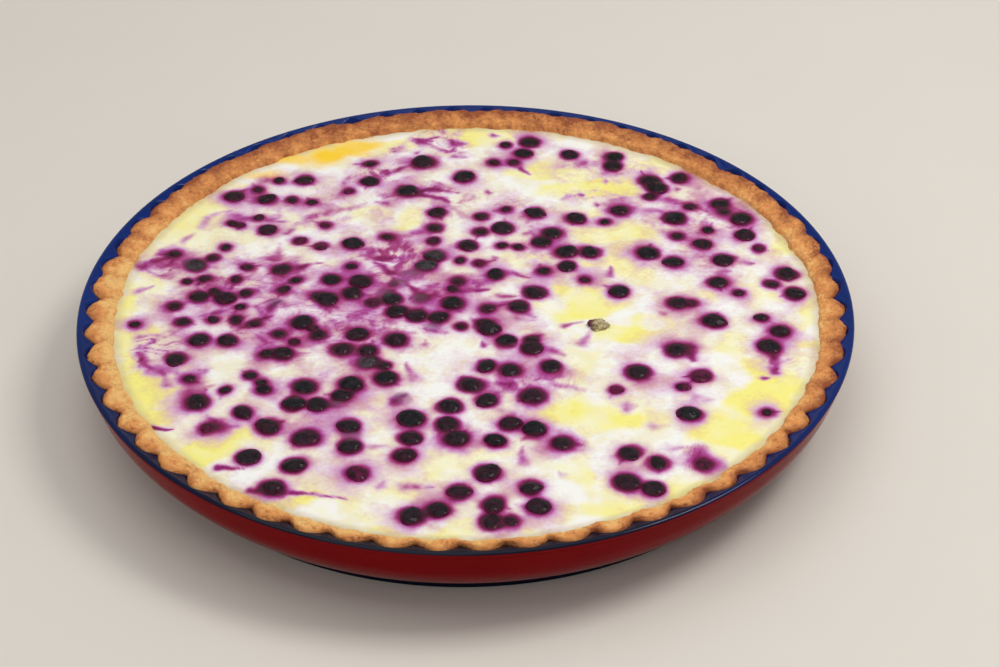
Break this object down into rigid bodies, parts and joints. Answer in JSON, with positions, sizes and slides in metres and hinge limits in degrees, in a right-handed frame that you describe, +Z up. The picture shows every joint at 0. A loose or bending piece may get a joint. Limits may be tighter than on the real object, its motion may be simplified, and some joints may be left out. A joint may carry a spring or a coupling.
{
  "type": "blueberry custard tart in a fluted dish",
  "caption": "Round open blueberry and custard tart with a fluted pastry edge, baked in its own shallow fluted dish.",
  "frame": {"origin": "on the table, at the middle of the dish's foot", "axes": "+Z up along the dish's axis, -Y to the front of the tart as seen, +X to its right"},
  "size_m": [0.28, 0.28, 0.0322],
  "materials": {
    "dish_glaze": "gloss glaze, cobalt blue inside and on the lip, wine red outside, dark navy foot band",
    "pastry": "golden baked shortcrust, rough and grainy, browner at the torn edges",
    "custard": "set cream custard, satin, with yellow patches and purple juice round the berries",
    "berry_skin": "dark baked blueberry skin, slightly wrinkled, satin with wet magenta edges"
  },
  "bodies": {
    "root": {"berry_01": "berry_skin", "berry_02": "berry_skin", "berry_03": "berry_skin", "berry_04": "berry_skin", "berry_05": "berry_skin", "berry_06": "berry_skin", "berry_07": "berry_skin", "berry_08": "berry_skin", "berry_09": "berry_skin", "berry_10": "berry_skin", "berry_11": "berry_skin", "berry_12": "berry_skin", "berry_13": "berry_skin", "berry_14": "berry_skin", "berry_15": "berry_skin", "berry_16": "berry_skin", "berry_17": "berry_skin", "berry_18": "berry_skin", "berry_19": "berry_skin", "berry_20": "berry_skin", "berry_21": "berry_skin", "berry_22": "berry_skin", "berry_23": "berry_skin", "berry_24": "berry_skin", "berry_25": "berry_skin", "berry_26": "berry_skin", "berry_27": "berry_skin", "berry_28": "berry_skin", "berry_29": "berry_skin", "berry_30": "berry_skin", "berry_31": "berry_skin", "berry_32": "berry_skin", "berry_33": "berry_skin", "berry_34": "berry_skin", "berry_35": "berry_skin", "berry_36": "berry_skin", "berry_37": "berry_skin", "berry_38": "berry_skin", "berry_39": "berry_skin", "berry_40": "berry_skin", "berry_41": "berry_skin", "berry_42": "berry_skin", "berry_43": "berry_skin", "berry_44": "berry_skin", "berry_45": "berry_skin", "berry_46": "berry_skin", "berry_47": "berry_skin", "berry_48": "berry_skin", "berry_49": "berry_skin", "berry_50": "berry_skin", "berry_51": "berry_skin", "berry_52": "berry_skin", "berry_53": "berry_skin", "berry_54": "berry_skin", "crust": "pastry", "dish": "dish_glaze", "filling": "custard"}
  },
  "joints": []
}
